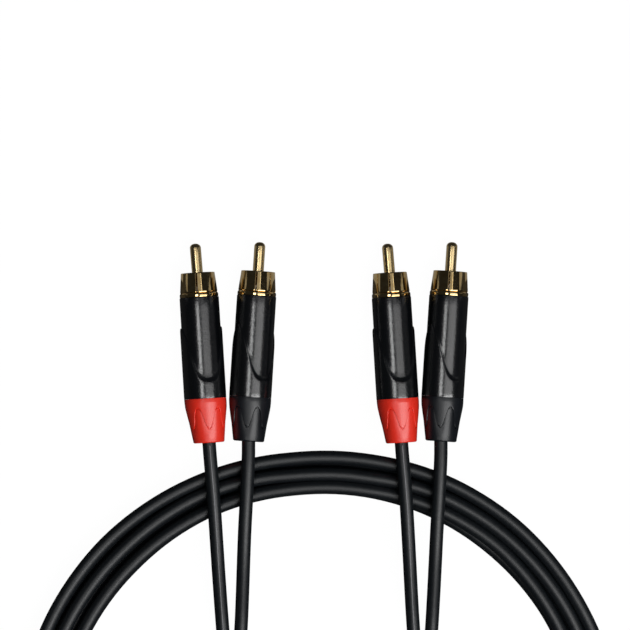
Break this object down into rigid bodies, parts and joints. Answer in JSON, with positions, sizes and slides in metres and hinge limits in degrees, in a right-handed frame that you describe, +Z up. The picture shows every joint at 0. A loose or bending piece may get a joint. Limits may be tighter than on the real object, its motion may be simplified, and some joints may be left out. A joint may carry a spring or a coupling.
{
  "type": "audio cable",
  "caption": "Stereo cable: a twin cord wound in a flat coil, with a screw-shell phono plug on each of its four ends.",
  "frame": {"origin": "on the floor under the middle of the four plugs", "axes": "+Y the way the pins point, +X across the four plugs from the left pair to the right pair, +Z up"},
  "size_m": [0.1769, 0.2163, 0.0145],
  "materials": {
    "gold_plate": "polished gold plate",
    "white_plastic": "moulded plastic",
    "black_paint": "semi-gloss black paint",
    "red_rubber": "fine matte red rubber",
    "black_rubber": "fine matte black rubber",
    "plated_brass": "satin plate",
    "copper": "bare copper strands",
    "black_jacket": "satin flexible jacket"
  },
  "bodies": {
    "root": {"left_red_centre_pin": "gold_plate", "left_red_collar": "gold_plate", "left_red_insulator": "white_plastic", "left_red_barrel": "black_paint", "left_red_boot": "red_rubber", "left_red_cable_clamp": "plated_brass", "left_red_core_wire": "copper", "left_red_lead": "black_jacket", "left_black_centre_pin": "gold_plate", "left_black_collar": "gold_plate", "left_black_insulator": "white_plastic", "left_black_barrel": "black_paint", "left_black_boot": "black_rubber", "left_black_cable_clamp": "plated_brass", "left_black_core_wire": "copper", "left_black_lead": "black_jacket", "right_red_centre_pin": "gold_plate", "right_red_collar": "gold_plate", "right_red_insulator": "white_plastic", "right_red_barrel": "black_paint", "right_red_boot": "red_rubber", "right_red_cable_clamp": "plated_brass", "right_red_core_wire": "copper", "right_red_lead": "black_jacket", "right_black_centre_pin": "gold_plate", "right_black_collar": "gold_plate", "right_black_insulator": "white_plastic", "right_black_barrel": "black_paint", "right_black_boot": "black_rubber", "right_black_cable_clamp": "plated_brass", "right_black_core_wire": "copper", "right_black_lead": "black_jacket", "coil": "black_jacket"}
  },
  "joints": []
}
